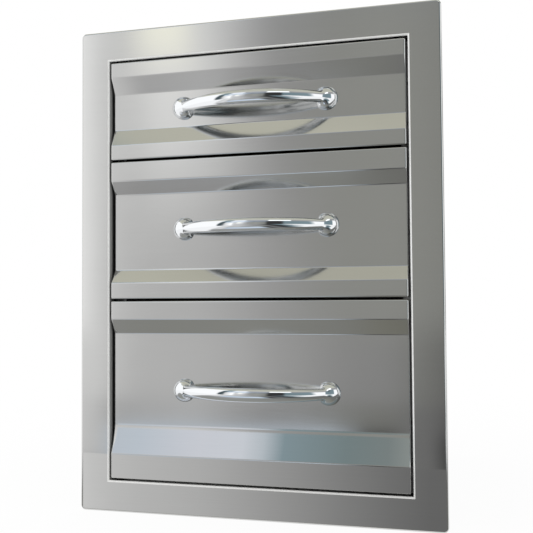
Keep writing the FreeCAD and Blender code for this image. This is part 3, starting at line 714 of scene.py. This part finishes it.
def chromed_casting(name, colour):
    # Bright chrome over a hand-polished casting: nearly a mirror, with the faint waves that buffing leaves
    haze_size = 14 * MM
    wave_size = 11 * MM
    material, tree, shader, place = start_finish(name, 1.0)
    haze = add_node(tree, "ShaderNodeTexNoise",
                    inputs={"Vector": place, "Scale": 1 / haze_size, "Detail": 3.0, "Roughness": 0.6})
    waves = add_node(tree, "ShaderNodeTexNoise",
                     inputs={"Vector": place, "Scale": 1 / wave_size, "Detail": 1.0})
    lay_finish(tree, shader, colour, None, haze.outputs["Fac"], (0.35, 0.7), (0.012, 0.03),
               relief=(waves.outputs["Fac"], 0.2, 0.3 * MM))
    return material


handle_low = (-handle_span / 2 - foot_width / 2 - casting_margin,
              -handle_stand - bow_mid[1] - casting_margin, -foot_radius - casting_margin)
handle_high = (-handle_low[0], casting_margin, -handle_low[2])
casting_points, casting_faces = skin(handle_distance, np.array(handle_low), handle_high, casting_cell)
for _ in range(casting_rounds):
    way = slope(casting_points)
    size = np.sum(way ** 2, axis=1) + nearly_nothing
    casting_points -= way * (handle_distance(casting_points) / size)[:, None]
casting_points[:, 1] = np.minimum(casting_points[:, 1], 0)
casting_normals = slope(casting_points)
casting_normals /= np.linalg.norm(casting_normals, axis=1)[:, None]
chrome = chromed_casting("chromed zinc casting, handles", "#dfe1e3")
handle_screw_sizes = {**slide_screw_sizes, "Head radius": 4.5, "Head height": 2.6, "Recess radius": 2.25,
                      "Recess depth": 1.2, "Shank radius": 2.5}
for name in drawer_names:
    node = name + "_handle"
    low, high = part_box(node)
    seat = np.array((0, frame_front + front_depths[name], (low.z + high.z) / 2))
    handle = mesh_object(name + "_handle_cast", (casting_points * MM + seat).tolist(), casting_faces.tolist(),
                         chrome)
    handle.data.normals_split_custom_set_from_vertices(casting_normals.tolist())
    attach(handle, name + "_drawer")
    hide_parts(node)
    fasteners(name + "_handle_screws", name + "_drawer", screw_tree, handle_screw_sizes)

# Trays: a folded box of 1.0 mm stainless with a safe hem round its edge, brushed like the fronts but
# coarser. Three low-head screws a side hold it to the slides.
tray_screw_sizes = {**slide_screw_sizes, "Head height": 2.0, "Recess depth": 0.9}
tray_steel = brushed_stainless("brushed stainless, trays", "#c6c6c4", roughness=0.3, anisotropy=0.45,
                               grain_width=1.1, grain_length=90, mottle=0.03)
finish_nodes([name + "_tray" for name in drawer_names], tray_steel)
for name in drawer_names:
    fasteners(name + "_tray_screws", name + "_drawer", screw_tree, tray_screw_sizes, heads_out=False)

# Slides: rolled steel channels with bright zinc plating, three to a side. Their balls are hardened and
# ground steel, held a fixed way apart by folded cages of plain cold-rolled strip.


def plated_steel(name, colour, roughness, bloom_size):
    # Zinc plate on rolled strip: bright with a faint cloudy bloom, and drawn marks along the slide
    mark_width = 0.9 * MM
    mark_length = 60 * MM
    material, tree, shader, place = start_finish(name, 1.0)
    bloom = add_node(tree, "ShaderNodeTexNoise",
                     inputs={"Vector": place, "Scale": 1 / (bloom_size * MM), "Detail": 3.0,
                             "Roughness": 0.55})
    drawn = add_node(tree, "ShaderNodeMapping",
                     inputs={"Vector": place, "Scale": (1 / mark_width, 1 / mark_length, 1 / mark_width)})
    marks = add_node(tree, "ShaderNodeTexNoise",
                     inputs={"Vector": drawn.outputs[0], "Scale": 1.0, "Detail": 2.0})
    tint = add_node(tree, "ShaderNodeMapRange",
                    inputs={"Value": bloom.outputs["Fac"], "From Min": 0.3, "From Max": 0.7,
                            "To Min": 0.86, "To Max": 1.0})
    uneven = add_node(tree, "ShaderNodeMath", {"operation": "ADD"},
                      {0: bloom.outputs["Fac"], 1: marks.outputs["Fac"]})
    lay_finish(tree, shader, colour, tint.outputs[0], uneven.outputs[0], (0.7, 1.3),
               (roughness - 0.05, roughness + 0.08), relief=(marks.outputs["Fac"], 0.12, 0.04 * MM))
    return material


zinc = plated_steel("zinc plated rolled steel, slides", "#c6cacd", roughness=0.3, bloom_size=12)
strip_steel = plated_steel("cold rolled strip, ball cages", "#93918c", roughness=0.36, bloom_size=6)
ball_steel = cold_formed_steel("ground ball steel", "#c8c9cb", roughness=0.08)
for name in drawer_names:
    finish_nodes(["%s_slide_%s_%s" % (name, member, side) for member in ("outer", "middle", "inner")
                  for side in ("left", "right")], zinc)
    finish_nodes(["%s_%s_cages" % (name, row) for row in ("outer", "inner")], strip_steel)
    finish_nodes(["%s_%s_balls" % (name, row) for row in ("outer", "inner")], ball_steel)

# Studio: a white floor and background, lit by a white sky. The floor shows as plain white far from the
# unit, and near it lets a little of the unit's shadow show.
floor_size = 8.0
floor_level = cad_bounds[0][2]
floor_shadow_share = 0.06
shadow_full_to = 0.5
shadow_gone_from = 1.6


def seen_directly(tree):
    # One for rays that show the background: the camera's own, and those that metal or glass sends on
    ray = add_node(tree, "ShaderNodeLightPath").outputs
    sharp = add_node(tree, "ShaderNodeMath", {"operation": "MAXIMUM"},
                     {0: ray["Is Camera Ray"], 1: ray["Is Glossy Ray"]})
    both = add_node(tree, "ShaderNodeMath", {"operation": "MAXIMUM"},
                    {0: sharp.outputs[0], 1: ray["Is Transmission Ray"]})
    return both.outputs[0]


def stage_paint(name):
    # An empty material, whose glow isn't sampled as a lamp
    paint = bpy.data.materials.new(name)
    paint.use_nodes = True
    paint.node_tree.nodes.clear()
    paint.cycles.emission_sampling = "NONE"
    return paint


world = bpy.data.worlds.new("studio")
bpy.context.scene.world = world
world.use_nodes = True
world.cycles.sampling_method = "NONE"
world.node_tree.nodes.clear()
sky = add_node(world.node_tree, "ShaderNodeBackground", inputs={"Color": (1, 1, 1, 1), "Strength": 1.0})
add_node(world.node_tree, "ShaderNodeOutputWorld", inputs={"Surface": sky.outputs[0]})

floor_paint = stage_paint("white studio floor")
tree = floor_paint.node_tree
place = add_node(tree, "ShaderNodeTexCoord").outputs["Object"]
away = add_node(tree, "ShaderNodeVectorMath", {"operation": "LENGTH"}, {0: place})
shadow = add_node(tree, "ShaderNodeMapRange", {"interpolation_type": "SMOOTHSTEP"},
                  {"Value": away.outputs["Value"], "From Min": shadow_full_to, "From Max": shadow_gone_from,
                   "To Min": floor_shadow_share, "To Max": 0.0})
matt = add_node(tree, "ShaderNodeBsdfDiffuse", inputs={"Color": linear("#f4f4f4")})
glow = add_node(tree, "ShaderNodeEmission", inputs={"Color": (1, 1, 1, 1), "Strength": 1.0})
shown = add_node(tree, "ShaderNodeMixShader",
                 inputs={0: shadow.outputs[0], 1: glow.outputs[0], 2: matt.outputs[0]})
kept = add_node(tree, "ShaderNodeMixShader",
                inputs={0: seen_directly(tree), 1: matt.outputs[0], 2: shown.outputs[0]})
add_node(tree, "ShaderNodeOutputMaterial", inputs={"Surface": kept.outputs[0]})
floor_corners = [(x * floor_size, y * floor_size, floor_level)
                 for x, y in ((-1, -1), (1, -1), (1, 1), (-1, 1))]
studio_floor = mesh_object("studio_floor", floor_corners, [(0, 1, 2, 3)], floor_paint)

# Tent: a grey dome round the unit that only the metal mirrors, open behind. Its walls are brighter to the
# left than to the right, and it has two windows to the left, one to the right, and a beige ceiling. Angles
# are in degrees.
tent_radius = 6.0
tent_middle = Vector((0, 0, 0.3))
tent_eye = Vector((0.281, 0.972, 0.261))
tent_reach = 160
tent_foot = -12
tent_turns = 64
tent_rises = 24
no_end = 999.0


def sight(tree):
    # Where a point of the stage is, seen from the tent's eye behind the fronts: its turn and its rise
    # (straight ahead is 0, left is negative), and how far behind the eye it is along Y
    place = add_node(tree, "ShaderNodeTexCoord").outputs["Object"]
    ray = add_node(tree, "ShaderNodeVectorMath", {"operation": "SUBTRACT"}, {0: place, 1: tent_eye})
    part = add_node(tree, "ShaderNodeSeparateXYZ", inputs={0: ray.outputs[0]}).outputs
    level = add_node(tree, "ShaderNodeVectorMath", {"operation": "MULTIPLY"},
                     {0: ray.outputs[0], 1: (1, 1, 0)})
    distance = add_node(tree, "ShaderNodeVectorMath", {"operation": "LENGTH"}, {0: level.outputs[0]})
    ahead = add_node(tree, "ShaderNodeMath", {"operation": "MULTIPLY"}, {0: part["Y"], 1: -1.0})
    angles = []
    for aside, along in ((part["X"], ahead.outputs[0]), (part["Z"], distance.outputs["Value"])):
        angle = add_node(tree, "ShaderNodeMath", {"operation": "ARCTAN2"}, {0: aside, 1: along})
        degrees = add_node(tree, "ShaderNodeMath", {"operation": "DEGREES"}, {0: angle.outputs[0]})
        angles.append(degrees.outputs[0])
    return angles[0], angles[1], part["Y"]


def tone(level, tint=(1, 1, 1)):
    # A grey of that level, or its tint, as a colour
    return (*[level * part for part in tint], 1)


def band(tree, turn, stops):
    # Tones that run into each other from turn to turn. A stop is its turn, its level and sometimes its tint
    share = add_node(tree, "ShaderNodeMapRange",
                     inputs={"Value": turn, "From Min": -180.0, "From Max": 180.0})
    blend = add_node(tree, "ShaderNodeValToRGB", inputs={0: share.outputs[0]})
    marks = blend.color_ramp.elements
    while len(marks) > 1:
        marks.remove(marks[-1])
    for i, (angle, *colour) in enumerate(stops):
        place = (angle + 180) / 360
        mark = marks[0] if i == 0 else marks.new(place)
        mark.position = place
        mark.color = tone(*colour)
    return blend.outputs["Color"]


def laid_over(tree, under, upper, *ranges):
    # One colour over another where each value lies in its range. A range is value, low, high and soft edge
    share = 1.0
    for value, low, high, soft in ranges:
        for start, end, limit in ((0.0, 1.0, low), (1.0, 0.0, high)):
            side = add_node(tree, "ShaderNodeMapRange", {"interpolation_type": "SMOOTHSTEP"},
                            {"Value": value, "From Min": limit - soft, "From Max": limit + soft,
                             "To Min": start, "To Max": end})
            share = add_node(tree, "ShaderNodeMath", {"operation": "MINIMUM"},
                             {0: share, 1: side.outputs[0]}).outputs[0]
    return add_node(tree, "ShaderNodeMix", {"data_type": "RGBA"}, {0: share, 6: under, 7: upper}).outputs[2]


def mirrored_only(name, points, faces, paint, colour):
    # A stage piece that glows in its colour, and that nothing but the metal sees
    light = add_node(paint.node_tree, "ShaderNodeEmission", inputs={"Color": colour, "Strength": 1.0})
    add_node(paint.node_tree, "ShaderNodeOutputMaterial", inputs={"Surface": light.outputs[0]})
    piece = mesh_object(name, points, faces, paint)
    piece.visible_camera = False
    piece.visible_diffuse = False
    piece.visible_shadow = False


cool = (0.96, 0.99, 1.05)
warm = (1.0, 1.01, 0.95)
beige = (1.02, 1.01, 0.86)
teal = (0.75, 1.0, 1.1)
blue = (0.84, 0.96, 1.1)
far_left = [(-43, 1.3), (-41, 0.12, teal), (-37, 0.12, teal)]
left_side = [*far_left, (-35, 0.85), (-28.5, 1.45), (-27.3, 1.15), (-26.6, 0.87), (-26, 0.78)]
right_side = [(-10.4, 0.38, warm), (-7, 0.4, warm), (-4.3, 0.37, warm), (0, 0.3, warm), (3, 0.05),
              (15, 0.05), (18, 0.3, teal), (40, 0.35, teal), (45, 1.3), (85, 1.3), (92, 0.1), (125, 0.1),
              (135, 0.9), (180, 0.9)]
low_stops = [*left_side, (-24.6, 0.7), (-20, 0.67), (-16.9, 0.56), (-14.7, 0.47), *right_side]
high_stops = [*left_side, (-24.6, 0.84), (-22.3, 1.16), (-20, 1.03), (-18.6, 0.88), (-16.9, 0.64),
              (-14.7, 0.42), *right_side]
cool_stops = [*far_left, (-35, 0.85, blue), (-24.6, 0.88, blue), (-20, 1.0, blue), (-17, 0.85, blue),
              (-14.5, 0.5, blue), (-9.7, 0.34, blue), (-7, 0.38, blue), (0, 0.3, blue), (3, 0.05),
              (15, 0.05), (18, 0.3, teal), (40, 0.35, teal), (45, 1.3), (180, 0.9)]
top_stops = [(-45, 1.3), (-43, 0.3, teal), (-36, 0.4, teal), (-30, 0.55, cool), (0, 0.5, cool),
             (6, 0.34, teal), (20, 0.34, teal), (24, 0.42), (180, 0.5)]
# Each wall and ceiling starts at a rise, with a soft edge. A window has a left and a right turn, a low and a
# high rise, and a tone.
walls = ((8, 6, high_stops), (21.5, 1.5, cool_stops), (30, 2, top_stops))
ceilings = ((45, 1.5, tone(0.7, beige)), (53.5, 2, tone(0.59, beige)))
windows = ((-33, -19.5, 30, 43, tone(1.15, cool)), (2, 23, 32, 43, tone(1.7)),
           (-24, -20.8, 16.5, 21, tone(1.42, beige)))
window_turn_edge = 1.0
window_rise_edge = 1.5
tent_paint = stage_paint("grey studio tent")
tree = tent_paint.node_tree
turn, rise, _ = sight(tree)
colour = band(tree, turn, low_stops)
for from_rise, soft, stops in walls:
    colour = laid_over(tree, colour, band(tree, turn, stops), (rise, from_rise, no_end, soft))
for left, right, low, high, pane in windows:
    colour = laid_over(tree, colour, pane, (turn, left, right, window_turn_edge),
                       (rise, low, high, window_rise_edge))
for from_rise, soft, ceiling in ceilings:
    colour = laid_over(tree, colour, ceiling, (rise, from_rise, no_end, soft))
tent_points = []
for lift_step in range(tent_rises + 1):
    lift = math.radians(tent_foot + (90 - tent_foot) * lift_step / tent_rises)
    for turn_step in range(tent_turns + 1):
        heading = math.radians(tent_reach * (2 * turn_step / tent_turns - 1))
        tent_points.append(tent_middle + tent_radius * Vector((
            math.cos(lift) * math.sin(heading), -math.cos(lift) * math.cos(heading), math.sin(lift))))
row = tent_turns + 1
tent_faces = [(r * row + c, r * row + c + 1, (r + 1) * row + c + 1, (r + 1) * row + c)
              for r in range(tent_rises) for c in range(tent_turns)]
mirrored_only("studio_tent", tent_points, tent_faces, tent_paint, colour)

# Floor card: what the metal mirrors low in front of the unit, in zones that are darker towards it. One of
# them, a narrow strip in cold light and dark, is there for the bows.
card_half = 7.0
card_front = -7.0
card_back = -0.012
card_lift = 0.2 * MM
far_stops = [(-33, 1.2), (-31.5, 0.7), (-29, 0.95), (-27.3, 0.98), (-26.3, 0.9), (-24.6, 0.68), (-22.5, 0.7),
             (-20, 0.68), (-17, 0.62), (-15, 0.51), (-10, 0.38), (-7, 0.36), (-4.3, 0.26, warm),
             (-2.5, 0.2), (-1, 0.05), (4, 0.05), (6, 0.3, teal), (13, 0.35, teal), (16, 1.2), (180, 1.0)]
middle_left = [(-33, 1.2), (-31.5, 0.8), (-27.4, 0.93), (-26.8, 0.8)]
middle_stops = [*middle_left, (-26.1, 0.52), (-24.4, 0.56), (-21, 0.62), (-19.8, 0.6), (-17.6, 0.46),
                (-15, 0.35), (-10, 0.29, warm), (-7, 0.27, warm), (-5.5, 0.24), (-4, 0.215), (-1, 0.05),
                (4, 0.05), (6, 0.3, teal), (13, 0.35, teal), (16, 1.2), (180, 1.0)]
strip_stops = [*middle_left, (-26.1, 0.6), (-25, 0.8, blue), (-10.5, 0.88, blue), (-9, 0.05), (-6.5, 0.05),
               (-5.8, 0.24), (-4, 0.215), (-3.2, 0.05), (0, 0.05), (1.5, 0.3, teal), (4, 0.3, teal),
               (5.5, 1.3), (16, 1.2), (180, 1.0)]
near_stops = [(-33, 1.2), (-31, 0.5), (-28, 0.42), (-19, 0.42), (-16, 0.36, warm), (-11, 0.29, warm),
              (-8, 0.25, warm), (-4, 0.2, warm), (30, 0.2), (180, 0.5)]
close_stops = [(-33, 1.2), (-31, 0.4), (-26.9, 0.34, warm), (-18.3, 0.35, warm), (-11, 0.29, warm),
               (-7.6, 0.25, beige), (-4, 0.2, warm), (30, 0.2), (180, 0.5)]
# Each zone starts at a depth along Y from the tent's eye, with a soft edge
zones = ((-2.07, 0.06, middle_stops), (-1.652, 0.02, strip_stops), (-1.29, 0.03, near_stops),
         (-1.17, 0.02, close_stops))
card_paint = stage_paint("grey floor card")
tree = card_paint.node_tree
turn, _, depth = sight(tree)
colour = band(tree, turn, far_stops)
for from_depth, soft, stops in zones:
    colour = laid_over(tree, colour, band(tree, turn, stops), (depth, from_depth, no_end, soft))
card_corners = [(x, y, floor_level + card_lift) for x, y in (
    (-card_half, card_front), (card_half, card_front), (card_half, card_back), (-card_half, card_back))]
mirrored_only("studio_floor_card", card_corners, [(0, 1, 2, 3)], card_paint, colour)

# Upright cards close before the unit: a grey one that only the flange's foot and the lowest band mirror,
# and a cold one for the lowest front's cove, pale on its left half and dim on its right.
lip_stops = [(-180, 0.9), (-27.5, 0.96), (-26.6, 0.83), (-24.5, 0.75), (-19.8, 0.66), (-16.9, 0.56),
             (-14.4, 0.47), (-9.6, 0.32), (-6.8, 0.25), (-4, 0.2), (180, 0.15)]
cove_stops = [(-180, 1, (0.76, 0.83, 0.92)), (-26.5, 1, (0.95, 0.98, 1.0)), (-25.9, 1, (0.76, 0.83, 0.92)),
              (-24, 1, (0.77, 0.85, 0.95)), (-20, 1, (0.92, 0.95, 1.04)), (-15.9, 1, (0.9, 0.95, 1.03)),
              (-14.6, 1, (0.35, 0.46, 0.51)), (-9.6, 1, (0.27, 0.34, 0.35)), (-6.6, 1, (0.3, 0.345, 0.345)),
              (-5.8, 1, (0.38, 0.42, 0.41))]
# Name, finish, tones, half width, place along Y, and low and high edge of each
upright_cards = (
    ("studio_lip_card", "grey lip card", lip_stops, frame_half_x, -0.016, floor_level, 0.0655),
    ("studio_cove_card", "cold cove card", cove_stops, 0.188, -0.013, 0.069, 0.1018))
for name, finish, stops, half, y, low, high in upright_cards:
    paint = stage_paint(finish)
    turn = sight(paint.node_tree)[0]
    corners = [(-half, y, low), (half, y, low), (half, y, high), (-half, y, high)]
    mirrored_only(name, corners, [(0, 1, 2, 3)], paint, band(paint.node_tree, turn, stops))

# Lamp: one softbox high to the left, which gives the shadow its side. The metal doesn't mirror it.
softbox_place = Vector((-2.4, -0.9, 1.3))
softbox_aim = Vector((0, 0, 0.3))
softbox_size = 1.2
softbox_power = 14
softbox_light = bpy.data.lights.new("softbox_left", "AREA")
softbox_light.size = softbox_size
softbox_light.energy = softbox_power
softbox = add_object("softbox_left", softbox_light)
softbox_turn = (softbox_aim - softbox_place).to_track_quat("-Z", "Y").to_matrix().to_4x4()
softbox.matrix_world = Matrix.Translation(softbox_place) @ softbox_turn
softbox.visible_glossy = False
